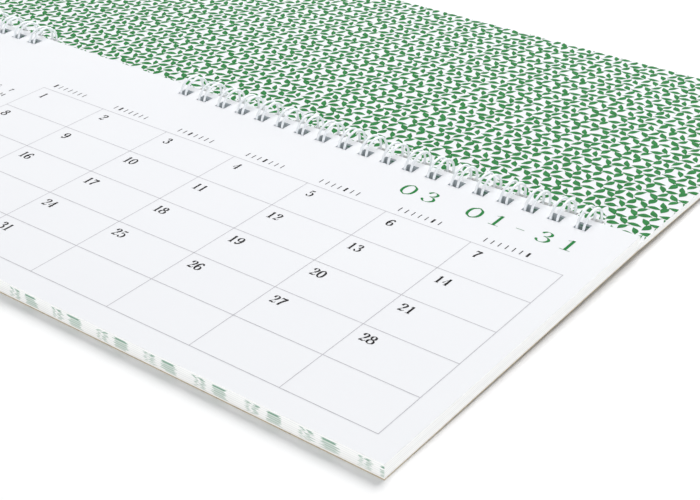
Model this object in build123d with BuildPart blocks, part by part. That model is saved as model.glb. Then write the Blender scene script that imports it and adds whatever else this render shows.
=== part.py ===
"""Long desk calendar on two twin-loop wires, lying open on a table.

The near half is the block of leaves still to come, on its backing board. The far half is
the leaves already turned, on the front cover. Both hang on the same wire loops, so the far
half swings up and over about the loops' axis and closes on the near one.

Frame: X along the binding, +Y towards the far half, +Z up. The origin is on the table, under
the middle of the binding. Lengths are in millimetres and angles in degrees.
"""

import os
from math import asin, atan2, cos, degrees, hypot, radians, sin, sqrt

from build123d import *

# Sheets
page_width = 412.4          # along the binding
hole_to_open_edge = 116.3   # from the middle of the row of holes to the open edge
block_thickness = 3.7       # leaves still to come
board_thickness = 0.8       # grey board under them
turned_thickness = 1.8      # leaves already turned
cover_thickness = 0.5       # card cover under those

# Twin-loop wire, three loops to the inch
wire_diameter = 0.8
loop_pitch = 25.4 / 3
loops_skipped = 8           # left out between the two wires
side_margin = 15.0          # least paper from the last hole's middle to the side of a sheet
loop_width = 11.8           # outside, across the binding
loop_height = 10.4          # outside, table to crown
strand_spacing = 2.2        # between the two strands of one loop
closure_gap = 0.75          # between the loop tips and the spine
strand_runs = 10            # straight runs that a strand is bent in
wire_sides = 5              # facets round the wire

# Holes and hinge
hole_size = 4.0             # square
hole_clearance = 0.1        # between a loop's outside and the outer wall of its holes
page_rise = 1.0             # top of the block above the loops' axis
turned_drop = 1.3           # top of the turned leaves below the loops' axis
hinge_clearance = 0.1       # between what swings and what stays
board_setback = 0.15        # from the loops' axis back to the board
turned_setback = 0.3        # from the loops' axis out to the turned half

# Worked out from those
axis_height = loop_height / 2
hole_offset = loop_width / 2 + hole_clearance - hole_size / 2   # axis to the middle of the holes
ring_y = (loop_width - wire_diameter) / 2
ring_z = (loop_height - wire_diameter) / 2
open_edge = hole_offset + hole_to_open_edge
near_depth = block_thickness + board_thickness - page_rise
far_depth = turned_drop + turned_thickness + cover_thickness


def resting_tilt(depth):
    """Slope of a half whose underside, depth below the axis, meets the table at its open edge."""
    return degrees(asin(axis_height / hypot(open_edge, depth)) - atan2(depth, open_edge))


near_tilt = resting_tilt(near_depth)
far_tilt = resting_tilt(far_depth)
near_plane = Plane(
    origin=(0, 0, axis_height), x_dir=(1, 0, 0), z_dir=(0, -sin(radians(near_tilt)), cos(radians(near_tilt)))
)
far_plane = Plane(
    origin=(0, 0, axis_height), x_dir=(1, 0, 0), z_dir=(0, sin(radians(far_tilt)), cos(radians(far_tilt)))
)
# Looking along the binding, with each half's own depth to the right and its normal up
near_section = Plane(origin=near_plane.origin, x_dir=near_plane.y_dir, z_dir=near_plane.x_dir)
far_section = Plane(origin=far_plane.origin, x_dir=far_plane.y_dir, z_dir=far_plane.x_dir)

# The leaves of the block are fanned at the hinge, and the top one reaches past the axis as far
# as the turned leaves leave room for when they swing over it.
block_lip = sqrt((turned_drop - hinge_clearance) ** 2 - page_rise**2)

first_loop = (loops_skipped + 1) / 2 * loop_pitch
loops_per_wire = int((page_width / 2 - side_margin - first_loop) / loop_pitch) + 1
loop_places = [first_loop + i * loop_pitch for i in range(loops_per_wire)]
hole_places = [-x for x in reversed(loop_places)] + loop_places

# Near half: board, then the block of leaves on it
board_low = -near_depth
board_top = board_low + board_thickness

with BuildPart() as backing_board:
    with BuildSketch(near_section):
        with BuildLine():
            Polyline(
                (-open_edge, board_low),
                (-board_setback, board_low),
                (-board_setback, board_top),
                (-open_edge, board_top),
                close=True,
            )
        make_face()
    extrude(amount=page_width / 2, both=True)
    with BuildSketch(near_plane.offset(board_top)):
        with Locations(*[(x, -hole_offset) for x in hole_places]):
            Rectangle(hole_size, hole_size)
    extrude(amount=-board_thickness, mode=Mode.SUBTRACT)

with BuildPart() as page_block:
    with BuildSketch(near_section):
        with BuildLine():
            Polyline(
                (-open_edge, board_top),
                (-board_setback, board_top),
                (block_lip, page_rise),
                (-open_edge, page_rise),
                close=True,
            )
        make_face()
    extrude(amount=page_width / 2, both=True)
    with BuildSketch(near_plane.offset(page_rise)):
        with Locations(*[(x, -hole_offset) for x in hole_places]):
            Rectangle(hole_size, hole_size)
    extrude(amount=-block_thickness, mode=Mode.SUBTRACT)

# Far half: the front cover, then the turned leaves on it
cover_low = -far_depth
cover_top = cover_low + cover_thickness

with BuildPart() as front_cover:
    with BuildSketch(far_section):
        with BuildLine():
            Polyline(
                (turned_setback, cover_low),
                (open_edge, cover_low),
                (open_edge, cover_top),
                (turned_setback, cover_top),
                close=True,
            )
        make_face()
    extrude(amount=page_width / 2, both=True)
    with BuildSketch(far_plane.offset(cover_top)):
        with Locations(*[(x, hole_offset) for x in hole_places]):
            Rectangle(hole_size, hole_size)
    extrude(amount=-cover_thickness, mode=Mode.SUBTRACT)

with BuildPart() as turned_leaves:
    with BuildSketch(far_section):
        with BuildLine():
            Polyline(
                (turned_setback, cover_top),
                (open_edge, cover_top),
                (open_edge, -turned_drop),
                (turned_setback, -turned_drop),
                close=True,
            )
        make_face()
    extrude(amount=page_width / 2, both=True)
    with BuildSketch(far_plane.offset(-turned_drop)):
        with Locations(*[(x, hole_offset) for x in hole_places]):
            Rectangle(hole_size, hole_size)
    extrude(amount=-turned_thickness, mode=Mode.SUBTRACT)

# Wire: from the spine each loop rises as two strands side by side through the near holes, goes
# over, comes down through the far holes and ends in a closed tip that lies beside the spine.
closure_angle = degrees(asin((closure_gap + wire_diameter) / 2 / ring_y))
strand_sweep = 360 - 2 * closure_angle
strand_angles = [270 - closure_angle - strand_sweep * i / strand_runs for i in range(strand_runs + 1)]
strand_points = [
    (ring_y * cos(radians(a)), axis_height + ring_z * sin(radians(a))) for a in strand_angles
]

with BuildPart() as loop:
    with BuildLine() as loop_path:
        Polyline(
            (-loop_pitch / 2, *strand_points[0]),
            *[(-strand_spacing / 2, y, z) for y, z in strand_points],
            *[(strand_spacing / 2, y, z) for y, z in reversed(strand_points)],
            (loop_pitch / 2, *strand_points[0]),
        )
    with BuildSketch(Plane(origin=loop_path.line @ 0, x_dir=(0, 0, 1), z_dir=(1, 0, 0))):
        RegularPolygon(radius=wire_diameter / 2, side_count=wire_sides)
    sweep(path=loop_path.line, transition=Transition.RIGHT)

with BuildPart() as wire_right:
    with Locations(*[(x, 0, 0) for x in loop_places]):
        add(loop.part)

with BuildPart() as wire_left:
    with Locations(*[(-x, 0, 0) for x in loop_places]):
        add(loop.part)

backing_board.part.label = "backing_board"
page_block.part.label = "page_block"
front_cover.part.label = "front_cover"
turned_leaves.part.label = "turned_leaves"
wire_left.part.label = "wire_left"
wire_right.part.label = "wire_right"

os.makedirs("parts", exist_ok=True)
export_step(backing_board.part, "parts/backing_board.step")
export_step(page_block.part, "parts/page_block.step")
export_step(front_cover.part, "parts/front_cover.step")
export_step(turned_leaves.part, "parts/turned_leaves.step")
export_step(wire_left.part, "parts/wire_left.step")
export_step(wire_right.part, "parts/wire_right.step")

print(f"hinge at z {axis_height:.3f} mm, swing {180 + near_tilt + far_tilt:.3f} deg")
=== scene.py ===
"""Long desk calendar lying open: print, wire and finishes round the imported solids.

The near half is the block of month leaves on its board, the far half is the turned leaves on
the cover. Sizes are in millimetres until a mesh is made, and then in metres. Every piece is put
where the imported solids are, in the same frame: X along the binding, +Y to the far half, +Z up.
"""

from __future__ import annotations

import logging
import math
from collections.abc import Mapping, Sequence
from dataclasses import dataclass, field
from enum import Enum
from typing import Any, Optional

import bpy
import numpy as np
from mathutils import Matrix, Vector

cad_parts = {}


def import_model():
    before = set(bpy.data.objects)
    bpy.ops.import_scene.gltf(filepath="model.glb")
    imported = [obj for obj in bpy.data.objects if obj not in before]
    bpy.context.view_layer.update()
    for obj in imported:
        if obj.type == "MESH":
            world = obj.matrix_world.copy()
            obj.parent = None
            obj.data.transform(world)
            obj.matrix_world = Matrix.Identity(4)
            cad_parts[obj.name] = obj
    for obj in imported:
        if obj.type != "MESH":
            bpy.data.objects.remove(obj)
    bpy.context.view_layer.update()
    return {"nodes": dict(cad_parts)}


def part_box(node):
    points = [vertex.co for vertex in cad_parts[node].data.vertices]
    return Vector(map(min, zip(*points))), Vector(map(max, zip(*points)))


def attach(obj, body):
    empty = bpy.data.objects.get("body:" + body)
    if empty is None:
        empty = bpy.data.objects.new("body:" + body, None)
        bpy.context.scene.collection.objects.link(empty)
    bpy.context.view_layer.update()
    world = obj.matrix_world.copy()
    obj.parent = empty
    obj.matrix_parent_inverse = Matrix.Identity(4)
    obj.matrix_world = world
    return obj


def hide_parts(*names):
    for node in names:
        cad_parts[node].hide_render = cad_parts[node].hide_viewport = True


LOG = logging.getLogger("desk_calendar")
MM = 0.001
# A Mix node that mixes colours: its settings, and the sockets of its two colours
COLOUR_MIX = {"out": 2, "data_type": "RGBA"}
MIX_A = 6
MIX_B = 7
# Most values of a noise texture lie between these
NOISE_SPAN = (0.3, 0.7)
# Period of a wave texture at scale 1
WAVE_PERIOD = 2 * math.pi / 20


class Body(Enum):
    """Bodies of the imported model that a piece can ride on."""

    BASE = "base"
    TURNED = "turned"


class Slot(Enum):
    """Material slots of the record."""

    PAPER = "leaf_paper"
    BOARD = "grey_board"
    COVER = "cover_card"
    WIRE = "coated_wire"


def linear(hex_colour: str) -> tuple[float, float, float, float]:
    """Turns an sRGB hex value to the linear colour that a shader takes.

    Args:
        hex_colour: Colour such as "#A0B1C2".

    Returns:
        Linear red, green and blue, and an alpha of 1.
    """
    srgb = np.array([int(hex_colour[i : i + 2], 16) for i in (1, 3, 5)]) / 255.0
    value = np.where(srgb <= 0.04045, srgb / 12.92, ((srgb + 0.055) / 1.055) ** 2.4)
    red, green, blue = value.tolist()
    return red, green, blue, 1.0


def add_node(
    tree: bpy.types.NodeTree,
    kind: str,
    inputs: Mapping[Any, Any] | Sequence[Any] = (),
    out: Any = 0,
    **settings: Any,
) -> Optional[bpy.types.NodeSocket]:
    """Adds a node with its settings, values and links.

    Args:
        tree: Node tree of a material or the world.
        kind: Blender's name of the node type.
        inputs: Values or output sockets for the inputs, in order, or by name or number.
        out: Name or number of the output that is wanted.
        **settings: Properties of the node.

    Returns:
        The wanted output, or None for a node without outputs.
    """
    node = tree.nodes.new(kind)
    for name, value in settings.items():
        setattr(node, name, value)
    pairs = inputs.items() if isinstance(inputs, Mapping) else enumerate(inputs)
    for key, value in pairs:
        if isinstance(value, bpy.types.NodeSocket):
            tree.links.new(value, node.inputs[key])
        else:
            node.inputs[key].default_value = value
    return node.outputs[out] if len(node.outputs) else None


def new_material(
    name: str,
) -> tuple[bpy.types.Material, bpy.types.NodeTree, bpy.types.NodeSocket]:
    """Makes a material whose node tree holds only the object's coordinates.

    Args:
        name: Name of the real material.

    Returns:
        The material, its node tree and the coordinates.
    """
    material = bpy.data.materials.new(name)
    material.use_nodes = True
    tree = material.node_tree
    tree.nodes.clear()
    return material, tree, add_node(tree, "ShaderNodeTexCoord", out="Object")


def new_piece(
    name: str,
    points_mm: np.ndarray,
    faces: Sequence[Sequence[int]],
    material: bpy.types.Material,
    body: Body,
    smooth: bool = False,
) -> bpy.types.Object:
    """Puts a surface into a mesh object at the origin and lets it ride on a body.

    Args:
        name: Name of the piece.
        points_mm: Vertices in the shared frame, shape (n, 3).
        faces: Vertex numbers of each face.
        material: Finish of the whole piece.
        body: Body that it moves with.
        smooth: Whether the shading is smooth.

    Returns:
        The new object.
    """
    mesh = bpy.data.meshes.new(name)
    mesh.from_pydata((points_mm * MM).tolist(), [], [list(face) for face in faces])
    mesh.update()
    if smooth:
        mesh.shade_smooth()
    mesh.materials.append(material)
    piece = bpy.data.objects.new(name, mesh)
    bpy.context.scene.collection.objects.link(piece)
    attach(piece, body.value)
    LOG.info("%s: %d faces on %s", name, len(mesh.polygons), body.value)
    return piece


@dataclass(frozen=True)
class Sheet:
    """Top face of a stack: x runs along the binding, d from the hinge edge to the open edge."""

    hinge_edge: np.ndarray
    along: np.ndarray
    normal: np.ndarray
    depth: float
    half_width: float

    @classmethod
    def from_node(cls, node: bpy.types.Object, direction: int, strip: float = 0.2) -> Sheet:
        """Finds the top face of a packed stack from its highest corners.

        Args:
            node: Packed object of the stack.
            direction: 1 where the open edge is towards +Y, -1 where it is towards -Y.
            strip: Depth at each end where the corner is looked for, in millimetres.

        Returns:
            The top face, in millimetres.
        """
        points = np.empty(len(node.data.vertices) * 3)
        node.data.vertices.foreach_get("co", points)
        points = points.reshape(-1, 3) / MM
        outward = points[:, 1] * direction
        ends = []
        for end in (outward < outward.min() + strip, outward > outward.max() - strip):
            corner = points[end][np.argmax(points[end][:, 2])]
            ends.append(np.array([0.0, corner[1], corner[2]]))
        along = ends[1] - ends[0]
        depth = float(np.linalg.norm(along))
        along = along / depth
        normal = np.array([0.0, -along[2], along[1]]) * direction
        return cls(ends[0], along, normal, depth, float(points[:, 0].max()))

    @property
    def lean(self) -> float:
        """Turn about X, in radians, that brings the leaves level."""
        return math.atan2(self.normal[1], self.normal[2])

    @property
    def height(self) -> float:
        """Height of the top face above the origin, along its own normal, in millimetres."""
        return float(self.hinge_edge @ self.normal)

    def place(self, flat: np.ndarray, lift: np.ndarray) -> np.ndarray:
        """Carries flat points onto the sheet.

        Args:
            flat: Points (x, d) in millimetres, shape (n, 2).
            lift: Distance of each above the paper, in millimetres, shape (n, 1).

        Returns:
            Points in the shared frame, in millimetres, shape (n, 3).
        """
        across = np.array([1.0, 0.0, 0.0])
        return (
            self.hinge_edge
            + flat[:, :1] * across
            + flat[:, 1:2] * self.along
            + lift * self.normal
        )


@dataclass
class Patches:
    """Flat patches of ink, gathered for one mesh. Ones that overlap lie on different layers.

    The film stands higher above the paper than real ink, so that no paper shows through it.
    """

    lift: float = 0.02
    layer: float = 0.003
    layers: int = 12
    rim: float = 0.05
    least_area: float = 5e-6
    points: list[np.ndarray] = field(default_factory=list)
    lifts: list[np.ndarray] = field(default_factory=list)
    quads: list[np.ndarray] = field(default_factory=list)
    total: int = 0

    def add(self, grids: np.ndarray) -> None:
        """Adds patches, each a grid of points (x, d), on the film's layers by turns.

        Args:
            grids: Points in millimetres, shape (patches, rows, columns, 2).
        """
        count, rows, columns, _ = grids.shape
        layer = (np.arange(count) + len(self.points)) % self.layers
        self.lifts.append(np.repeat(self.lift + self.layer * layer, rows * columns))
        number = np.arange(rows * columns).reshape(rows, columns)
        corners = (number[:-1, :-1], number[:-1, 1:], number[1:, 1:], number[1:, :-1])
        quad = np.stack([corner.ravel() for corner in corners], axis=1)
        first = self.total + np.arange(count) * rows * columns
        self.quads.append((first[:, None, None] + quad).reshape(-1, 4))
        self.points.append(grids.reshape(-1, 2))
        self.total += count * rows * columns

    def on_sheet(
        self, sheet: Sheet, keep: Optional[np.ndarray] = None
    ) -> tuple[np.ndarray, np.ndarray]:
        """Clips the patches just inside the sheet's edges and lays them on it, facing up.

        Args:
            sheet: Sheet that carries the ink.
            keep: Whether each point may carry ink, or None where all may.

        Returns:
            Points in the shared frame, in millimetres, and quads of their numbers.
        """
        flat = np.concatenate(self.points)
        quads = np.concatenate(self.quads)
        low = np.array([-sheet.half_width, 0.0]) + self.rim
        high = np.array([sheet.half_width, sheet.depth]) - self.rim
        flat = np.clip(flat, low, high)
        if keep is not None:
            quads = quads[keep[quads].all(axis=1)]
        diagonal = flat[quads[:, 2]] - flat[quads[:, 0]]
        other = flat[quads[:, 3]] - flat[quads[:, 1]]
        area = (diagonal[:, 0] * other[:, 1] - diagonal[:, 1] * other[:, 0]) / 2
        real = np.abs(area) > self.least_area
        quads = quads[real]
        facing = np.sign(area[real]) * np.sign(sheet.along[1])
        quads = np.where(facing[:, None] > 0, quads, quads[:, ::-1])
        used, quads = np.unique(quads, return_inverse=True)
        lifts = np.concatenate(self.lifts)[used]
        return sheet.place(flat[used], lifts[:, None]), quads.reshape(-1, 4)


def smooth_line(control: Sequence[tuple[float, float]], steps: int) -> np.ndarray:
    """Draws a smooth line through control points.

    Each span is the Catmull-Rom cubic of its four neighbours, and the end points count twice.

    Args:
        control: Points that the line passes through.
        steps: Straight parts in each span.

    Returns:
        Points of the line, shape (spans * steps + 1, 2).
    """
    knots = np.array([control[0], *control, control[-1]], dtype=float)
    before, start, end, after = knots[:-3], knots[1:-2], knots[2:-1], knots[3:]
    t = (np.arange(steps) / steps)[None, :, None]
    spans = 0.5 * (
        2 * start[:, None]
        + (end - before)[:, None] * t
        + (2 * before - 5 * start + 4 * end - after)[:, None] * t**2
        + (3 * start - before - 3 * end + after)[:, None] * t**3
    )
    return np.concatenate([spans.reshape(-1, 2), knots[-2:-1]])


class Weight(Enum):
    """How thick a pen stroke is: by its direction, or the same all along."""

    PEN = "pen"
    HAIR = "hair"
    BOLD = "bold"


Stroke = tuple[Weight, Sequence[tuple[float, float]]]


@dataclass(frozen=True)
class PenNumerals:
    """Upright numerals of thick stems and thin joins, drawn stroke by stroke on a unit height."""

    thick: float = 0.09
    thin: float = 0.022
    bold_share: float = 0.8
    swell: float = 1.6
    advance: float = 0.64
    middle: float = 0.28
    steps: int = 6

    def strokes(self, sign: str) -> list[Stroke]:
        """Gives the strokes of one numeral, in a box one unit tall and about half as wide.

        Args:
            sign: A digit, a dash or a space.

        Returns:
            The strokes, from left to right and from the base line up.
        """
        pen, hair, bold = Weight.PEN, Weight.HAIR, Weight.BOLD
        six = [
            (pen, [(0.45, 0.84), (0.33, 1.0), (0.14, 0.8), (0.06, 0.42), (0.12, 0.1), (0.28, 0.0)]),
            (pen, [(0.28, 0.0), (0.46, 0.12), (0.5, 0.32), (0.42, 0.5), (0.27, 0.55), (0.1, 0.4)]),
            (bold, [(0.43, 0.8), (0.46, 0.86)]),
        ]
        shapes: dict[str, list[Stroke]] = {
            "0": [
                (pen, [(0.28, 1.0), (0.1, 0.82), (0.05, 0.5), (0.1, 0.18), (0.28, 0.0)]),
                (pen, [(0.28, 0.0), (0.46, 0.18), (0.51, 0.5), (0.46, 0.82), (0.28, 1.0)]),
            ],
            "1": [
                (pen, [(0.29, 1.0), (0.29, 0.0)]),
                (hair, [(0.12, 0.86), (0.29, 0.97)]),
                (hair, [(0.1, 0.02), (0.48, 0.02)]),
            ],
            "2": [
                (pen, [(0.1, 0.72), (0.14, 0.91), (0.29, 0.99), (0.45, 0.88), (0.45, 0.68), (0.31, 0.42)]),
                (hair, [(0.31, 0.42), (0.16, 0.2), (0.06, 0.06)]),
                (bold, [(0.08, 0.07), (0.24, 0.1), (0.4, 0.05)]),
                (hair, [(0.42, 0.05), (0.5, 0.12), (0.52, 0.24)]),
                (bold, [(0.1, 0.7), (0.13, 0.77)]),
            ],
            "3": [
                (pen, [(0.1, 0.82), (0.22, 0.99), (0.38, 0.94), (0.44, 0.77), (0.36, 0.6), (0.22, 0.54)]),
                (pen, [(0.22, 0.54), (0.42, 0.46), (0.5, 0.26), (0.4, 0.05), (0.2, 0.0), (0.07, 0.16)]),
                (bold, [(0.1, 0.78), (0.13, 0.84)]),
                (bold, [(0.07, 0.15), (0.1, 0.22)]),
            ],
            "4": [
                (pen, [(0.39, 1.0), (0.39, 0.0)]),
                (hair, [(0.39, 0.98), (0.03, 0.3)]),
                (hair, [(0.03, 0.29), (0.54, 0.29)]),
                (hair, [(0.24, 0.02), (0.52, 0.02)]),
            ],
            "5": [
                (bold, [(0.13, 0.94), (0.28, 0.92), (0.44, 0.97)]),
                (hair, [(0.12, 0.98), (0.11, 0.55)]),
                (
                    pen,
                    [
                        (0.11, 0.55), (0.28, 0.63), (0.45, 0.52), (0.5, 0.3),
                        (0.4, 0.06), (0.2, 0.0), (0.07, 0.14),
                    ],
                ),
                (bold, [(0.07, 0.14), (0.1, 0.21)]),
            ],
            "6": six,
            "7": [
                (bold, [(0.08, 0.94), (0.28, 0.92), (0.5, 0.96)]),
                (hair, [(0.07, 0.98), (0.06, 0.76)]),
                (pen, [(0.51, 0.98), (0.35, 0.62), (0.24, 0.3), (0.23, 0.0)]),
            ],
            "8": [
                (pen, [(0.28, 0.54), (0.12, 0.67), (0.13, 0.89), (0.28, 1.0)]),
                (pen, [(0.28, 1.0), (0.43, 0.89), (0.44, 0.67), (0.28, 0.54)]),
                (pen, [(0.28, 0.54), (0.07, 0.4), (0.06, 0.13), (0.28, 0.0)]),
                (pen, [(0.28, 0.0), (0.5, 0.13), (0.49, 0.4), (0.28, 0.54)]),
            ],
            "9": [(weight, [(2 * self.middle - x, 1.0 - y) for x, y in line]) for weight, line in six],
            "-": [(hair, [(0.12, 0.42), (0.44, 0.42)])],
            " ": [],
        }
        return shapes[sign]

    def ribbon(self, stroke: Stroke, height: float) -> np.ndarray:
        """Widens a stroke to a ribbon.

        Half the width is the thin one plus the share of thick that the line's rise gives, so
        upright parts are thick and level ones thin.

        Args:
            stroke: Weight and control points on a unit height.
            height: Height of the numeral in millimetres.

        Returns:
            One grid of points, shape (1, 2, n, 2), with y up.
        """
        weight, control = stroke
        line = smooth_line(control, self.steps)
        heading = np.gradient(line, axis=0)
        heading = heading / np.linalg.norm(heading, axis=1, keepdims=True)
        side = np.stack([-heading[:, 1], heading[:, 0]], axis=1)
        rise = np.abs(heading[:, 1:2]) ** self.swell
        half = {
            Weight.PEN: self.thin + (self.thick - self.thin) * rise,
            Weight.HAIR: np.full_like(rise, self.thin),
            Weight.BOLD: np.full_like(rise, self.thick * self.bold_share),
        }[weight]
        return np.stack([line - side * half, line + side * half])[None] * height

    def write(
        self,
        ink: Patches,
        text: str,
        middle: tuple[float, float],
        height: float,
        pitch: float = 0.0,
        stretch: float = 1.06,
    ) -> None:
        """Sets a number centred on a point of the sheet.

        Args:
            ink: Patches that take the strokes.
            text: Digits, dashes and spaces.
            middle: Point (x, d) of the number's middle, in millimetres.
            height: Height of the numerals in millimetres.
            pitch: Distance between numerals, or 0 for the usual one.
            stretch: Widening of the numerals.
        """
        step = pitch or self.advance * height * stretch
        left = middle[0] - step * (len(text) - 1) / 2 - self.middle * height * stretch
        base = middle[1] + height / 2
        for place, sign in enumerate(text):
            for stroke in self.strokes(sign):
                grid = self.ribbon(stroke, height)
                corner = np.array([left + step * place, base])
                ink.add(corner + grid * np.array([stretch, -1.0]))


@dataclass(frozen=True)
class EdgeMarks:
    """Marks on a stack's front edge, where green print runs off the leaves.

    A broad and two narrow marks repeat along the edge. Each leaf's marks stand a little to one
    side of the next leaf's, and one leaf near the top is stained stronger.
    """

    stain: str = "#5F9478"
    repeat_mm: float = 16.6
    # Normal's y where the front edge begins and where it is full
    front_turn: tuple[float, float] = (-0.4, -0.8)
    # How soon the marks' place changes, and how far they stand aside as a share of the repeat
    shift_mm: float = 100 / 9
    shifts_per_leaf: float = 1.6
    shift_noise: tuple[float, float] = (0.2, 0.8)
    shift: tuple[float, float] = (-0.09, 0.09)
    # Depths under the top face and shares of stain: the clean leaves, and the stronger one
    clean_mm: tuple[float, float] = (0.55, 0.75)
    ink: float = 0.64
    ink_on_leaf: float = 0.6
    dark_mm: float = 1.0
    dark_half: tuple[float, float] = (0.26, 0.16)
    dark_ink: float = 0.5
    blur: float = 0.012
    # Middle and half width of each mark, as shares of the repeat, and its strength
    marks: tuple[tuple[float, float, float], ...] = (
        (0.5, 0.13, 1.0),
        (0.03, 0.03, 0.8),
        (0.16, 0.045, 0.9),
    )

    def over(
        self,
        tree: bpy.types.NodeTree,
        level: bpy.types.NodeSocket,
        facing: bpy.types.NodeSocket,
        below: bpy.types.NodeSocket,
        leaf: bpy.types.NodeSocket,
        edge: bpy.types.NodeSocket,
        leaf_mm: float,
    ) -> bpy.types.NodeSocket:
        """Lays the marks over a clean edge.

        Args:
            tree: Node tree of the paper.
            level: Coordinates with the leaves level.
            facing: Normal in object coordinates.
            below: Distance under the top face, in metres.
            leaf: 1 on a leaf's cut edge and 0 between leaves.
            edge: Colour of the clean edge.
            leaf_mm: Thickness that a leaf is drawn with.

        Returns:
            Colour of the marked edge.
        """
        along = add_node(tree, "ShaderNodeSeparateXYZ", (level,), out="X")
        front = add_node(tree, "ShaderNodeSeparateXYZ", (facing,), out="Y")
        front = add_node(tree, "ShaderNodeMapRange", (front, *self.front_turn))
        spread = (1 / (self.shift_mm * MM), 0.0, self.shifts_per_leaf / (leaf_mm * MM))
        by_leaf = add_node(tree, "ShaderNodeMapping", {"Vector": level, "Scale": spread})
        shift = add_node(tree, "ShaderNodeTexNoise", {"Vector": by_leaf, "Scale": 1.0, "Detail": 1.0})
        shift = add_node(tree, "ShaderNodeMapRange", (shift, *self.shift_noise, *self.shift))
        turn = add_node(
            tree, "ShaderNodeMath", (along, 1 / (self.repeat_mm * MM), shift), operation="MULTIPLY_ADD"
        )
        turn = add_node(tree, "ShaderNodeMath", (turn,), operation="FRACT")
        strength = 0.0
        for middle, half, share in self.marks:
            off = add_node(tree, "ShaderNodeMath", (turn, middle), operation="SUBTRACT")
            off = add_node(tree, "ShaderNodeMath", (off,), operation="ABSOLUTE")
            mark = add_node(
                tree, "ShaderNodeMapRange", (off, half + self.blur, half - self.blur, 0.0, share)
            )
            strength = add_node(tree, "ShaderNodeMath", (strength, mark), operation="MAXIMUM")
        ink = add_node(
            tree,
            "ShaderNodeMapRange",
            (below, self.clean_mm[0] * MM, self.clean_mm[1] * MM, 0.0, self.ink),
        )
        hatch = add_node(tree, "ShaderNodeMapRange", (leaf, 0.0, 1.0, 1.0, self.ink_on_leaf))
        ink = add_node(tree, "ShaderNodeMath", (ink, hatch), operation="MULTIPLY")
        dark = add_node(tree, "ShaderNodeMath", (below, self.dark_mm * MM), operation="SUBTRACT")
        dark = add_node(tree, "ShaderNodeMath", (dark,), operation="ABSOLUTE")
        dark = add_node(
            tree,
            "ShaderNodeMapRange",
            (dark, self.dark_half[0] * MM, self.dark_half[1] * MM, 0.0, self.dark_ink),
        )
        ink = add_node(tree, "ShaderNodeMath", (ink, dark), operation="ADD")
        ink = add_node(tree, "ShaderNodeMath", (ink, strength), operation="MULTIPLY")
        ink = add_node(tree, "ShaderNodeMath", (ink, front), operation="MULTIPLY")
        return add_node(
            tree,
            "ShaderNodeMix",
            {0: ink, MIX_A: edge, MIX_B: linear(self.stain)},
            **COLOUR_MIX,
        )


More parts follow.
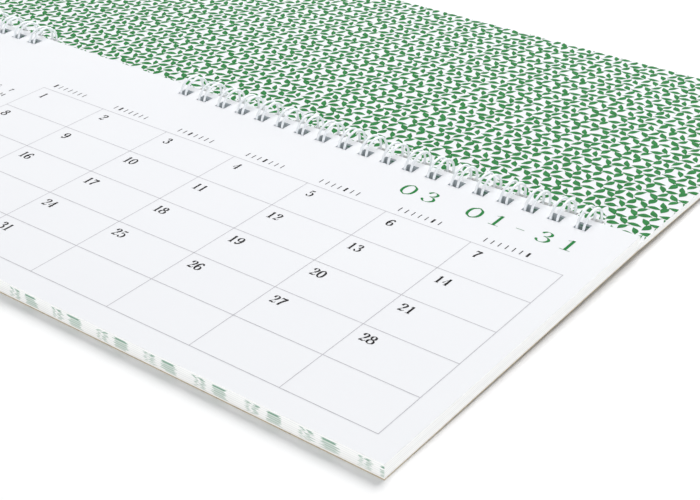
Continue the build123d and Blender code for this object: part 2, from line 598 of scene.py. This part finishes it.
@dataclass(frozen=True)
class UncoatedPaper:
    """Uncoated offset paper, cut as a stack.

    Its faces are matt and white with a fine tooth. The cut edges show each leaf as a line, with
    painted shade in the gaps between leaves, and may carry marks. The walls of the near row of
    holes are greyed with painted shade.
    """

    name: str
    lean: float
    top_mm: float
    marks: Optional[EdgeMarks] = None
    face: str = "#EBECEE"
    shade: str = "#E8E9EC"
    edge: str = "#F8F8F6"
    # Painted shade in the gaps between leaves on the cut edges
    leaf_gap_shade: str = "#E8EAE9"
    # Painted shade on the walls of the near holes
    hole_wall_shade: str = "#CAD1D5"
    roughness: tuple[float, float] = (0.78, 0.92)
    # Normal's z where a face ends and where a cut edge begins
    cut_rise: tuple[float, float] = (0.6, 0.4)
    tooth_mm: float = 0.4
    cloud_mm: float = 45.0
    leaf_mm: float = 0.62
    # Gaps between leaves, painted as shade: how soon they change, and the share of the wave that they take
    run_mm: float = 500 / 3
    changes_per_leaf: float = 0.9
    tight_noise: tuple[float, float] = (0.35, 0.65)
    tight: tuple[float, float] = (0.12, 0.6)
    # Near holes with painted shade on their walls, from the loops' axis, and how far along the binding
    # they may lie
    hole_row: float = -4.0
    hole_reach: float = 2.2
    side_clear: float = 200.0

    def material(self) -> bpy.types.Material:
        """Builds the paper.

        Returns:
            The material.
        """
        material, tree, plain = new_material(self.name)
        facing = add_node(tree, "ShaderNodeTexCoord", out="Normal")
        level = add_node(
            tree, "ShaderNodeMapping", {"Vector": plain, "Rotation": (self.lean, 0.0, 0.0)}
        )
        upright = add_node(tree, "ShaderNodeSeparateXYZ", (facing,), out="Z")
        steep = add_node(tree, "ShaderNodeMath", (upright,), operation="ABSOLUTE")
        cut = add_node(tree, "ShaderNodeMapRange", (steep, *self.cut_rise))
        height = add_node(tree, "ShaderNodeSeparateXYZ", (level,), out="Z")
        below = add_node(tree, "ShaderNodeMath", (self.top_mm * MM, height), operation="SUBTRACT")
        cloud = add_node(
            tree, "ShaderNodeTexNoise", {"Vector": plain, "Scale": 1 / (self.cloud_mm * MM)}
        )
        face = add_node(
            tree,
            "ShaderNodeMix",
            {0: cloud, MIX_A: linear(self.face), MIX_B: linear(self.shade)},
            **COLOUR_MIX,
        )
        leaf = self.leaf_lines(tree, level)
        # Painted shade in the gaps between leaves, white on each leaf's cut edge
        edge = add_node(
            tree,
            "ShaderNodeMix",
            {0: leaf, MIX_A: linear(self.leaf_gap_shade), MIX_B: linear(self.edge)},
            **COLOUR_MIX,
        )
        # Painted shade greys the walls of the near holes
        edge = self.shade_hole_walls(tree, level, edge)
        if self.marks is not None:
            edge = self.marks.over(tree, level, facing, below, leaf, edge, self.leaf_mm)
        colour = add_node(
            tree, "ShaderNodeMix", {0: cut, MIX_A: face, MIX_B: edge}, **COLOUR_MIX
        )
        tooth = add_node(
            tree,
            "ShaderNodeTexNoise",
            {"Vector": plain, "Scale": 1 / (self.tooth_mm * MM), "Detail": 4.0, "Roughness": 0.6},
        )
        grain = add_node(tree, "ShaderNodeMix", {0: cut, 2: tooth, 3: leaf}, data_type="FLOAT")
        bump = add_node(
            tree, "ShaderNodeBump", {"Strength": 0.22, "Distance": 0.03 * MM, "Height": grain}
        )
        rough = add_node(tree, "ShaderNodeMapRange", (tooth, *NOISE_SPAN, *self.roughness))
        surface = add_node(
            tree,
            "ShaderNodeBsdfPrincipled",
            {
                "Base Color": colour,
                "Roughness": rough,
                "Normal": bump,
                "IOR": 1.45,
                "Specular IOR Level": 0.3,
            },
        )
        add_node(tree, "ShaderNodeOutputMaterial", {"Surface": surface})
        return material

    def leaf_lines(
        self, tree: bpy.types.NodeTree, level: bpy.types.NodeSocket
    ) -> bpy.types.NodeSocket:
        """Draws one line a leaf on the cut edges, some open and some tight; the gaps between get painted
        shade.

        Real leaves are a little over half as thick, too fine to show here.

        Args:
            tree: Node tree of the paper.
            level: Coordinates with the leaves level.

        Returns:
            1 on a leaf's cut edge and 0 between leaves.
        """
        lines = add_node(
            tree,
            "ShaderNodeTexWave",
            {
                "Vector": level,
                "Scale": WAVE_PERIOD / (self.leaf_mm * MM),
                "Distortion": 2.2,
                "Detail": 1.0,
                "Detail Scale": 0.08,
            },
            out="Fac",
            bands_direction="Z",
        )
        run = 1 / (self.run_mm * MM)
        spread = (run, run, self.changes_per_leaf / (self.leaf_mm * MM))
        drawn_out = add_node(tree, "ShaderNodeMapping", {"Vector": level, "Scale": spread})
        tight = add_node(tree, "ShaderNodeTexNoise", {"Vector": drawn_out, "Scale": 1.0, "Detail": 1.0})
        tight = add_node(tree, "ShaderNodeMapRange", (tight, *self.tight_noise, *self.tight))
        return add_node(tree, "ShaderNodeMapRange", (lines, 0.0, tight))

    def shade_hole_walls(
        self, tree: bpy.types.NodeTree, level: bpy.types.NodeSocket, edge: bpy.types.NodeSocket
    ) -> bpy.types.NodeSocket:
        """Paints shade on the walls of the near row of holes, greying them.

        Args:
            tree: Node tree of the paper.
            level: Coordinates with the leaves level.
            edge: Colour of the cut edges.

        Returns:
            Colour of the cut edges with painted shade on the near hole walls.
        """
        depth = add_node(tree, "ShaderNodeSeparateXYZ", (level,), out="Y")
        row = add_node(
            tree,
            "ShaderNodeMath",
            (depth, self.hole_row * MM, self.hole_reach * MM),
            operation="COMPARE",
        )
        along = add_node(tree, "ShaderNodeSeparateXYZ", (level,), out="X")
        inside = add_node(
            tree, "ShaderNodeMath", (along, 0.0, self.side_clear * MM), operation="COMPARE"
        )
        wall = add_node(tree, "ShaderNodeMath", (row, inside), operation="MULTIPLY")
        return add_node(
            tree,
            "ShaderNodeMix",
            {0: wall, MIX_A: edge, MIX_B: linear(self.hole_wall_shade)},
            **COLOUR_MIX,
        )


@dataclass(frozen=True)
class DuplexBoard:
    """Duplex board: a bleached ply on top and unbleached brown pulp below.

    The lower part of its edges shows as a brown line, and its underside is brown and flecked.
    """

    name: str
    lean: float
    base_mm: float
    brown_mm: float
    white: str = "#EFEEEB"
    brown: str = "#B9AA89"
    fleck: str = "#8C7D5F"
    roughness: tuple[float, float] = (0.82, 0.95)
    fleck_noise: tuple[float, float] = (0.5, 0.72)
    fleck_mm: float = 0.9
    fibre_mm: float = 0.25
    ply_blur: float = 0.05

    def material(self) -> bpy.types.Material:
        """Builds the board.

        Returns:
            The material.
        """
        material, tree, plain = new_material(self.name)
        level = add_node(
            tree, "ShaderNodeMapping", {"Vector": plain, "Rotation": (self.lean, 0.0, 0.0)}
        )
        height = add_node(tree, "ShaderNodeSeparateXYZ", (level,), out="Z")
        fleck = add_node(
            tree,
            "ShaderNodeTexNoise",
            {"Vector": plain, "Scale": 1 / (self.fleck_mm * MM), "Detail": 5.0, "Roughness": 0.7},
        )
        spots = add_node(tree, "ShaderNodeMapRange", (fleck, *self.fleck_noise))
        pulp = add_node(
            tree,
            "ShaderNodeMix",
            {0: spots, MIX_A: linear(self.brown), MIX_B: linear(self.fleck)},
            **COLOUR_MIX,
        )
        ply = self.base_mm + self.brown_mm
        bleached = add_node(
            tree,
            "ShaderNodeMapRange",
            (height, (ply - self.ply_blur) * MM, (ply + self.ply_blur) * MM),
        )
        colour = add_node(
            tree,
            "ShaderNodeMix",
            {0: bleached, MIX_A: pulp, MIX_B: linear(self.white)},
            **COLOUR_MIX,
        )
        fibre = add_node(
            tree,
            "ShaderNodeTexNoise",
            {"Vector": plain, "Scale": 1 / (self.fibre_mm * MM), "Detail": 4.0},
        )
        bump = add_node(
            tree, "ShaderNodeBump", {"Strength": 0.35, "Distance": 0.04 * MM, "Height": fibre}
        )
        rough = add_node(tree, "ShaderNodeMapRange", (fleck, *NOISE_SPAN, *self.roughness))
        surface = add_node(
            tree,
            "ShaderNodeBsdfPrincipled",
            {"Base Color": colour, "Roughness": rough, "Normal": bump, "Specular IOR Level": 0.25},
        )
        add_node(tree, "ShaderNodeOutputMaterial", {"Surface": surface})
        return material


@dataclass(frozen=True)
class PrintingInk:
    """Offset ink soaked into uncoated paper: matt, with a slight mottle where it lies thinner."""

    name: str
    full: str
    thin: str
    roughness: tuple[float, float] = (0.62, 0.78)
    thin_noise: tuple[float, float] = (0.35, 0.7)
    mottle_mm: float = 1.4

    def material(self) -> bpy.types.Material:
        """Builds the ink.

        Returns:
            The material.
        """
        material, tree, plain = new_material(self.name)
        mottle = add_node(
            tree,
            "ShaderNodeTexNoise",
            {"Vector": plain, "Scale": 1 / (self.mottle_mm * MM), "Detail": 3.0},
        )
        share = add_node(tree, "ShaderNodeMapRange", (mottle, *self.thin_noise))
        colour = add_node(
            tree,
            "ShaderNodeMix",
            {0: share, MIX_A: linear(self.full), MIX_B: linear(self.thin)},
            **COLOUR_MIX,
        )
        rough = add_node(tree, "ShaderNodeMapRange", (mottle, *NOISE_SPAN, *self.roughness))
        surface = add_node(
            tree,
            "ShaderNodeBsdfPrincipled",
            {"Base Color": colour, "Roughness": rough, "Specular IOR Level": 0.12},
        )
        add_node(tree, "ShaderNodeOutputMaterial", {"Surface": surface})
        return material


@dataclass(frozen=True)
class NylonCoating:
    """White nylon on steel wire: a smooth glossy skin with soft highlights, a little uneven."""

    name: str = "white_nylon_coated_steel"
    skin: str = "#F8FAFC"
    thin_skin: str = "#ECF1F5"
    roughness: tuple[float, float] = (0.2, 0.34)
    ripple_mm: float = 2.5

    def material(self) -> bpy.types.Material:
        """Builds the coating.

        Returns:
            The material.
        """
        material, tree, plain = new_material(self.name)
        ripple = add_node(
            tree,
            "ShaderNodeTexNoise",
            {"Vector": plain, "Scale": 1 / (self.ripple_mm * MM), "Detail": 2.0},
        )
        colour = add_node(
            tree,
            "ShaderNodeMix",
            {0: ripple, MIX_A: linear(self.skin), MIX_B: linear(self.thin_skin)},
            **COLOUR_MIX,
        )
        rough = add_node(tree, "ShaderNodeMapRange", (ripple, *NOISE_SPAN, *self.roughness))
        bump = add_node(
            tree, "ShaderNodeBump", {"Strength": 0.1, "Distance": 0.02 * MM, "Height": ripple}
        )
        surface = add_node(
            tree,
            "ShaderNodeBsdfPrincipled",
            {"Base Color": colour, "Roughness": rough, "Normal": bump, "IOR": 1.53},
        )
        add_node(tree, "ShaderNodeOutputMaterial", {"Surface": surface})
        return material


@dataclass(frozen=True)
class WhiteLaminate:
    """White laminate of the table top: matt, with a grain too slight to see."""

    name: str = "white_laminate"
    white: str = "#F9F9F9"
    roughness: tuple[float, float] = (0.6, 0.7)
    grain_mm: float = 2.5

    def material(self) -> bpy.types.Material:
        """Builds the laminate.

        Returns:
            The material.
        """
        material, tree, plain = new_material(self.name)
        grain = add_node(
            tree, "ShaderNodeTexNoise", {"Vector": plain, "Scale": 1 / (self.grain_mm * MM)}
        )
        rough = add_node(tree, "ShaderNodeMapRange", (grain, *NOISE_SPAN, *self.roughness))
        surface = add_node(
            tree,
            "ShaderNodeBsdfPrincipled",
            {"Base Color": linear(self.white), "Roughness": rough, "Specular IOR Level": 0.2},
        )
        add_node(tree, "ShaderNodeOutputMaterial", {"Surface": surface})
        return material


@dataclass(frozen=True)
class TwinLoopWire:
    """One length of twin-loop wire: pairs of strands that end in round tips beside the spine."""

    pitch: float = 25.4 / 3
    radius: float = 0.4
    strand_spacing: float = 2.2
    oval_y: float = 5.5
    oval_z: float = 4.8
    axis_z: float = 5.2
    closure_gap: float = 0.75
    spine_bend: float = 0.9
    sides: int = 12
    bend_points: int = 7
    spine_points: int = 4
    strand_points: int = 30
    oval_points: int = 600

    def unrolled(self, reach: float) -> np.ndarray:
        """Draws one loop on the oval laid flat.

        From mid-spine the line runs along x, turns a quarter round into the first strand, and
        half round at the tip. The rest is the same, mirrored in x.

        Args:
            reach: Length along the oval from the spine to the tip.

        Returns:
            Points (x, s), shape (n, 2), from one mid-spine to the next.
        """
        half = self.strand_spacing / 2
        bend = self.spine_bend
        quarter = np.linspace(-0.5 * math.pi, 0.0, self.bend_points)
        tip = np.linspace(math.pi, 0.5 * math.pi, self.bend_points)
        spine_x = np.linspace(-self.pitch / 2, -half - bend, self.spine_points)[:-1]
        strand_s = np.linspace(bend, reach - half, self.strand_points)[1:-1]
        rising = np.concatenate(
            [
                np.stack([spine_x, np.zeros_like(spine_x)], axis=1),
                np.stack([-half - bend + bend * np.cos(quarter), bend + bend * np.sin(quarter)], axis=1),
                np.stack([np.full_like(strand_s, -half), strand_s], axis=1),
                np.stack([half * np.cos(tip), reach - half + half * np.sin(tip)], axis=1),
            ]
        )
        falling = rising[::-1] * np.array([-1.0, 1.0])
        return np.concatenate([rising, falling[1:]])

    def centre_line(self, start_x: float, loops: int) -> tuple[np.ndarray, np.ndarray]:
        """Rolls the loops onto the oval.

        Args:
            start_x: Where the wire begins, in millimetres.
            loops: Number of loops.

        Returns:
            Points of the wire's middle and the oval's outward normals there.
        """
        closure = math.asin((self.closure_gap + 2 * self.radius) / 2 / self.oval_y)
        angle = np.linspace(
            1.5 * math.pi - closure, -0.5 * math.pi + closure, self.oval_points
        )
        oval = np.stack([self.oval_y * np.cos(angle), self.oval_z * np.sin(angle)], axis=1)
        run = np.concatenate([[0.0], np.cumsum(np.linalg.norm(np.diff(oval, axis=0), axis=1))])
        one = self.unrolled(float(run[-1]))
        offsets = start_x + self.pitch * (np.arange(loops) + 0.5)
        many = one[None, :-1] + np.stack([offsets, np.zeros(loops)], axis=1)[:, None]
        flat = np.concatenate([many.reshape(-1, 2), one[-1:] + np.array([offsets[-1], 0.0])])
        turn = np.interp(flat[:, 1], run, angle)
        middle = np.stack(
            [flat[:, 0], self.oval_y * np.cos(turn), self.axis_z + self.oval_z * np.sin(turn)], axis=1
        )
        normal = np.stack(
            [np.zeros_like(turn), np.cos(turn) / self.oval_y, np.sin(turn) / self.oval_z], axis=1
        )
        return middle, normal / np.linalg.norm(normal, axis=1, keepdims=True)

    def build(self, node: str, material: bpy.types.Material) -> bpy.types.Object:
        """Carries a round profile along the loops, in place of a packed wire.

        Args:
            node: Packed wire that this one stands for.
            material: Finish of the wire.

        Returns:
            The wire.
        """
        low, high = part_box(node)
        loops = round((high.x - low.x) / MM / self.pitch)
        middle, normal = self.centre_line(low.x / MM, loops)
        heading = np.gradient(middle, axis=0)
        heading = heading / np.linalg.norm(heading, axis=1, keepdims=True)
        side = np.cross(heading, normal)
        round_angle = np.arange(self.sides) * 2 * math.pi / self.sides
        profile = np.stack([np.cos(round_angle), np.sin(round_angle)], axis=1) * self.radius
        rings = (
            middle[:, None]
            + profile[None, :, :1] * normal[:, None]
            + profile[None, :, 1:] * side[:, None]
        )
        number = np.arange(rings.shape[0] * self.sides).reshape(-1, self.sides)
        after = np.roll(number, -1, axis=1)
        quads = np.stack([number[:-1], number[1:], after[1:], after[:-1]], axis=-1).reshape(-1, 4)
        faces = [*quads.tolist(), number[0].tolist(), number[-1][::-1].tolist()]
        wire = new_piece(
            f"{node}_round", rings.reshape(-1, 3), faces, material, Body.BASE, smooth=True
        )
        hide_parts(node)
        return wire


@dataclass(frozen=True)
class MonthPage:
    """Print on the near page: a month's grid, its day numbers and plain heads."""

    columns: int = 7
    rows: int = 5
    days: int = 31
    cell_x: float = 29.04
    cell_d: float = 16.58
    left: float = -4.39
    top: float = 30.39
    line_width: float = 0.22
    number_height: float = 3.45
    number_x: float = 4.95
    number_d: float = 4.55
    head_x: float = 2.6
    head_d: float = 27.0
    head_height: float = 2.2
    head_pitch: float = 2.3
    tick_half: float = 0.15
    own_tick_half: float = 0.34
    title_text: str = "03 01-31"
    title_middle: tuple[float, float] = (165.7, 16.0)
    title_height: float = 5.9
    title_pitch: float = 7.7
    title_stretch: float = 1.45
    small_left: float = -49.0
    small_top: float = 38.5
    small_pitch: tuple[float, float] = (6.2, 4.2)
    small_days: int = 28
    small_height: float = 1.9
    numerals: PenNumerals = PenNumerals()
    title_numerals: PenNumerals = PenNumerals(thick=0.056, thin=0.014)

    def grid(self) -> Patches:
        """Draws the lines of the grid as thin strips.

        Returns:
            The strips.
        """
        ink = Patches()
        half = self.line_width / 2
        right = self.left + self.columns * self.cell_x
        bottom = self.top + self.rows * self.cell_d
        x = self.left + np.arange(self.columns + 1) * self.cell_x
        d = self.top + np.arange(self.rows + 1) * self.cell_d
        sides = np.array([-half, half])
        upright = np.empty((len(x), 2, 2, 2))
        upright[..., 0] = x[:, None, None] + sides[None, :, None]
        upright[..., 1] = np.array([self.top - half, bottom + half])
        level = np.empty((len(d), 2, 2, 2))
        level[..., 0] = np.array([self.left - half, right + half])
        level[..., 1] = d[:, None, None] + sides[None, :, None]
        ink.add(upright)
        ink.add(level)
        return ink

    def day_numbers(self) -> Patches:
        """Sets the day numbers, the ticks that head the columns and the small month beside them.

        Returns:
            The strokes.
        """
        ink = Patches()
        for day in range(self.days):
            row, column = divmod(day, self.columns)
            x = self.left + column * self.cell_x + self.number_x
            d = self.top + row * self.cell_d + self.number_d
            self.numerals.write(ink, str(day + 1), (x, d), self.number_height)
        for day in range(self.small_days):
            row, column = divmod(day, self.columns)
            x = self.small_left + column * self.small_pitch[0]
            d = self.small_top + row * self.small_pitch[1]
            self.numerals.write(ink, str(day + 1), (x, d), self.small_height)
        ink.add(self.head_ticks())
        return ink

    def head_ticks(self) -> np.ndarray:
        """Draws seven upright ticks over each column, with the column's own tick thick.

        Returns:
            One grid a tick, shape (ticks, 2, 2, 2).
        """
        column = np.repeat(np.arange(self.columns), self.columns)
        tick = np.tile(np.arange(self.columns), self.columns)
        x = self.left + column * self.cell_x + self.head_x + tick * self.head_pitch
        half = np.where(column == tick, self.own_tick_half, self.tick_half)
        grids = np.empty((len(x), 2, 2, 2))
        grids[..., 0] = x[:, None, None] + half[:, None, None] * np.array([-1.0, 1.0])[:, None]
        grids[..., 1] = self.head_d + self.head_height * np.array([-0.5, 0.5])
        return grids

    def title(self) -> Patches:
        """Sets the month's number and its first and last day.

        Returns:
            The strokes.
        """
        ink = Patches()
        self.title_numerals.write(
            ink,
            self.title_text,
            self.title_middle,
            self.title_height,
            self.title_pitch,
            self.title_stretch,
        )
        return ink

    def build(self, sheet: Sheet) -> None:
        """Lays all print on the page.

        Args:
            sheet: Top of the block of leaves.
        """
        rule = PrintingInk("grey_offset_ink", "#B9B8BD", "#C4C3C8").material()
        black = PrintingInk("black_offset_ink", "#1D1B1C", "#2B292A").material()
        green = PrintingInk("green_offset_ink", "#1F7A38", "#2C8446").material()
        jobs = (
            ("page_grid", self.grid(), rule),
            ("page_numbers", self.day_numbers(), black),
            ("page_title", self.title(), green),
        )
        for name, ink, material in jobs:
            points, quads = ink.on_sheet(sheet)
            new_piece(name, points, quads, material, Body.BASE)


@dataclass(frozen=True)
class LeafPrint:
    """Green leaves over the whole of the turned leaf, each on a short stalk.

    They stand on a lattice of equal triangles and lie in three directions by turns, so that no
    leaf has the direction of the six around it.
    """

    spacing: float = 3.6
    leaf_mm: float = 4.2
    leaf_half: float = 1.0
    stalk_mm: float = 0.5
    stalk_half: float = 0.13
    directions: int = 3
    first_deg: float = 9.0
    sway_deg: float = 10.0
    sway_mm: float = 0.25
    bend_mm: float = 0.35
    width_sway: float = 0.14
    length_sway: float = 0.1
    # Steps of the two sines from place to place and from row to row, in radians
    sine_steps: tuple[float, float] = (2.4, 1.7)
    cosine_steps: tuple[float, float] = (1.3, -2.9)
    foot_power: float = 0.82
    blade_power: float = 1.05
    blade_points: int = 10
    neck_points: int = 4
    # Holes, from the hinge edge of the sheet
    hole_size: float = 4.0
    hole_row: float = 3.7
    hole_clearance: float = 0.05

    @property
    def row_step(self) -> float:
        """Distance between rows of the lattice, the height of its triangles."""
        return self.spacing * math.sqrt(0.75)

    def lattice(self, sheet: Sheet) -> tuple[np.ndarray, np.ndarray]:
        """Numbers the places of the lattice that cover a sheet.

        Args:
            sheet: Top of the turned leaves.

        Returns:
            Row and place in the row, one of each a leaf.
        """
        rows = int(sheet.depth / self.row_step)
        reach = int(sheet.half_width / self.spacing) + 1
        row, place = np.meshgrid(np.arange(rows + 2), np.arange(-reach, reach + 1), indexing="ij")
        return row.ravel()[:, None], place.ravel()[:, None]

    def leaves(self, row: np.ndarray, place: np.ndarray) -> np.ndarray:
        """Draws a stalk and an almond at each place, a little turned, moved and varied by sines.

        The almond's half width is a sine of its length, fuller towards the foot, and its neck is
        no thinner than the stalk. The middle line of leaf and stalk bends by a parabola.

        Args:
            row: Row of each leaf, shape (leaves, 1).
            place: Place of each leaf in its row, shape (leaves, 1).

        Returns:
            One grid a leaf, shape (leaves, blade_points + 2, 2, 2).
        """
        vary = np.sin(self.sine_steps[0] * place + self.sine_steps[1] * row)
        other = np.cos(self.cosine_steps[0] * place + self.cosine_steps[1] * row)
        x = (place + 0.5 * (row % 2)) * self.spacing + self.sway_mm * other
        d = row * self.row_step + self.sway_mm * vary
        lie = 180 / self.directions * ((place - row // 2 - row) % self.directions)
        turned_round = 180 * ((place + row) % 2)
        angle = np.radians(self.first_deg + lie + turned_round + self.sway_deg * vary)
        u = np.linspace(0.0, 1.0, self.blade_points)
        almond = np.sin(math.pi * u**self.foot_power) ** self.blade_power
        blade = self.leaf_half * (1.0 + self.width_sway * vary) * almond
        stalk = np.full((len(row), 2), self.stalk_half)
        half = np.hstack([stalk, blade])
        neck = half[:, : self.neck_points]
        np.maximum(neck, self.stalk_half, out=neck)
        length = self.leaf_mm * (1.0 + self.length_sway * other)
        foot = -length / 2 - self.stalk_mm * np.array([1.0, 0.5])
        along = np.hstack([foot, length * (u - 0.5)])
        bend = self.bend_mm * np.sign(other) * (1 - (2 * along / length) ** 2)
        aside = half[:, :, None] * np.array([-1.0, 1.0]) + bend[:, :, None]
        along = along[:, :, None]
        cos, sin = np.cos(angle)[:, :, None], np.sin(angle)[:, :, None]
        grid_x = x[:, :, None] + along * cos - aside * sin
        grid_d = d[:, :, None] + along * sin + aside * cos
        return np.stack([grid_x, grid_d], axis=-1)

    def build(self, sheet: Sheet, holes: np.ndarray) -> None:
        """Lays the print on the turned leaf, cut at its edges and its holes.

        Args:
            sheet: Top of the turned leaves.
            holes: Places of the holes along the binding, in millimetres.
        """
        ink = Patches()
        ink.add(self.leaves(*self.lattice(sheet)))
        flat = np.concatenate(ink.points)
        nearest = np.abs(flat[:, :1] - holes[None, :]).min(axis=1)
        half = self.hole_size / 2 + self.hole_clearance
        keep = (nearest > half) | (np.abs(flat[:, 1] - self.hole_row) > half)
        points, quads = ink.on_sheet(sheet, keep)
        green = PrintingInk("leaf_green_offset_ink", "#1F7334", "#36884A").material()
        new_piece("turned_leaf_print", points, quads, green, Body.TURNED)


@dataclass(frozen=True)
class Studio:
    """White table, soft light from behind, a fill in front, and the photograph's camera."""

    camera_mm: tuple[float, float, float] = (342.33, -310.68, 197.63)
    forward: tuple[float, float, float] = (-0.5223, 0.6836, -0.5098)
    right: tuple[float, float, float] = (0.7953, 0.6062, -0.0020)
    lens_mm: float = 70.54
    sensor_mm: float = 36.0
    nearest: float = 0.01
    key_place: tuple[float, float, float] = (-0.04, 1.08, 1.5)
    key_size: float = 1.3
    key_watts: float = 32.0
    fill_place: tuple[float, float, float] = (0.7, -1.4, 0.7)
    fill_size: float = 0.9
    fill_watts: float = 5.5
    sky_tint: str = "#FCFDFF"
    sky_low: float = 1.85
    sky_high: float = 0.2
    sky_rise: float = 0.6
    table_half: float = 3.0

    def camera(self) -> None:
        """Sets the camera, without shift or blur."""
        data = bpy.data.cameras.new("photo_camera")
        data.sensor_fit = "HORIZONTAL"
        data.sensor_width = self.sensor_mm
        data.lens = self.lens_mm
        data.clip_start = self.nearest
        camera = bpy.data.objects.new("photo_camera", data)
        ahead = Vector(self.forward).normalized()
        across = Vector(self.right)
        across = (across - ahead * across.dot(ahead)).normalized()
        turn = Matrix((across, across.cross(ahead), -ahead)).transposed()
        camera.matrix_world = Matrix.Translation(Vector(self.camera_mm) * MM) @ turn.to_4x4()
        bpy.context.scene.collection.objects.link(camera)
        bpy.context.scene.camera = camera

    def lights(self) -> None:
        """Sets a soft key and a soft fill, both aimed at the origin."""
        softboxes = (
            ("key_softbox", self.key_place, self.key_size, self.key_watts),
            ("fill_softbox", self.fill_place, self.fill_size, self.fill_watts),
        )
        for name, corner, size, watts in softboxes:
            data = bpy.data.lights.new(name, "AREA")
            data.shape = "DISK"
            data.size = size
            data.energy = watts
            light = bpy.data.objects.new(name, data)
            place = Vector(corner)
            light.matrix_world = (
                Matrix.Translation(place) @ place.to_track_quat("Z", "Y").to_matrix().to_4x4()
            )
            bpy.context.scene.collection.objects.link(light)

    def sky(self) -> None:
        """Sets a pale sky that is brighter low down."""
        world = bpy.data.worlds.new("even_sky")
        world.use_nodes = True
        tree = world.node_tree
        tree.nodes.clear()
        ray = add_node(tree, "ShaderNodeTexCoord", out="Generated")
        height = add_node(tree, "ShaderNodeSeparateXYZ", (ray,), out="Z")
        strength = add_node(
            tree, "ShaderNodeMapRange", (height, 0.0, self.sky_rise, self.sky_low, self.sky_high)
        )
        glow = add_node(
            tree, "ShaderNodeBackground", {"Color": linear(self.sky_tint), "Strength": strength}
        )
        add_node(tree, "ShaderNodeOutputWorld", {"Surface": glow})
        bpy.context.scene.world = world
        bpy.context.scene.view_settings.view_transform = "Standard"

    def table(self) -> None:
        """Lays a plain white table top under the calendar."""
        half = self.table_half
        mesh = bpy.data.meshes.new("table_top")
        corners = [(-half, -half, 0.0), (half, -half, 0.0), (half, half, 0.0), (-half, half, 0.0)]
        mesh.from_pydata(corners, [], [(0, 1, 2, 3)])
        mesh.materials.append(WhiteLaminate().material())
        table = bpy.data.objects.new("table_top", mesh)
        bpy.context.scene.collection.objects.link(table)

    def build(self) -> None:
        """Sets camera, lights, sky and table."""
        self.camera()
        self.lights()
        self.sky()
        self.table()


@dataclass(frozen=True)
class Stacks:
    """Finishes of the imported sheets, which keep their own solids."""

    near: Sheet
    far: Sheet
    block_mm: float = 3.7
    board_mm: float = 0.8
    board_brown: float = 0.3
    turned_mm: float = 1.8
    cover_mm: float = 0.5
    cover_brown: float = 0.25

    def dress(self, nodes: Mapping[str, bpy.types.Object]) -> None:
        """Gives each packed sheet its material.

        Args:
            nodes: Packed objects by name.
        """
        near, far = self.near, self.far
        board_base = near.height - self.block_mm - self.board_mm
        cover_base = far.height - self.turned_mm - self.cover_mm
        finishes = {
            "page_block": UncoatedPaper("uncoated_paper_block", near.lean, near.height, EdgeMarks()),
            "turned_leaves": UncoatedPaper("uncoated_paper_turned", far.lean, far.height),
            "backing_board": DuplexBoard("duplex_board", near.lean, board_base, self.board_brown),
            "front_cover": DuplexBoard("duplex_card", far.lean, cover_base, self.cover_brown),
        }
        for name, finish in finishes.items():
            node = nodes[name]
            material = finish.material()
            if not node.material_slots:
                node.data.materials.append(material)
            for slot in node.material_slots:
                slot.material = material
            LOG.info("%s: %s", name, finish.name)


def main() -> None:
    """Builds the calendar's pieces in order."""
    logging.basicConfig(level=logging.INFO, format="%(message)s")
    bpy.ops.wm.read_factory_settings(use_empty=True)
    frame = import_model()
    nodes = frame["nodes"]
    Studio().build()
    near = Sheet.from_node(nodes["page_block"], -1)
    far = Sheet.from_node(nodes["turned_leaves"], 1)
    Stacks(near, far).dress(nodes)
    wire = TwinLoopWire()
    coating = NylonCoating().material()
    holes = []
    for node in ("wire_left", "wire_right"):
        low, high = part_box(node)
        holes.append(np.arange(low.x / MM + wire.pitch / 2, high.x / MM, wire.pitch))
        wire.build(node, coating)
    MonthPage().build(near)
    LeafPrint().build(far, np.concatenate(holes))


if __name__ == "__main__":
    main()
